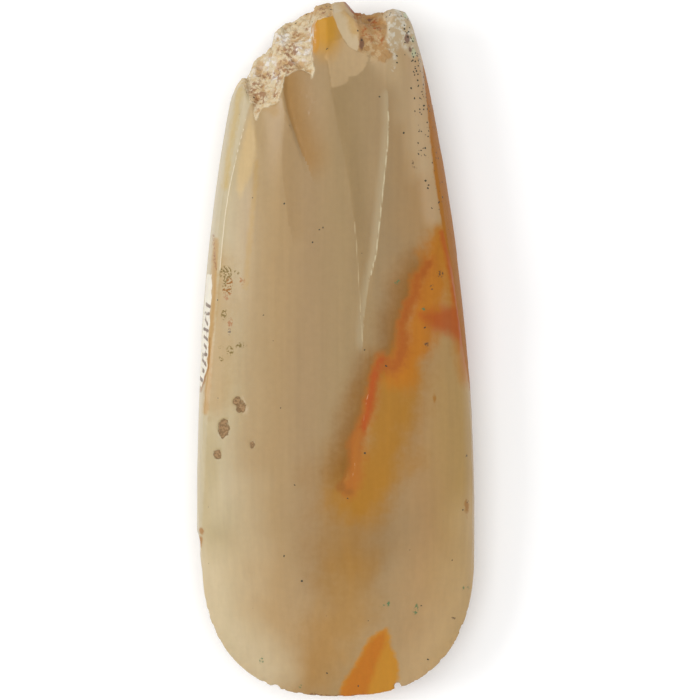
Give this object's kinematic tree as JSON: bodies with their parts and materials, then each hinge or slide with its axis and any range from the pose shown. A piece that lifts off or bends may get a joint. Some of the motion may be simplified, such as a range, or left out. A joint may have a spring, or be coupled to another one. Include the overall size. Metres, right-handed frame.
{
  "type": "axe head",
  "caption": "Ground jade axe head with a curved cutting edge, tapering sides, long flake scars and a broken butt, lying on its back.",
  "frame": {"origin": "centre of the bounding box seen from above, on the worn flat of the back that it lies on", "axes": "+Y along the axe from the cutting edge to the broken butt, +Z out of the broad front face, +X to the right seen from the front"},
  "size_m": [0.0718, 0.1798, 0.0264],
  "materials": {
    "jade": "polished"
  },
  "bodies": {
    "root": {"axe_head": "jade"}
  },
  "joints": []
}
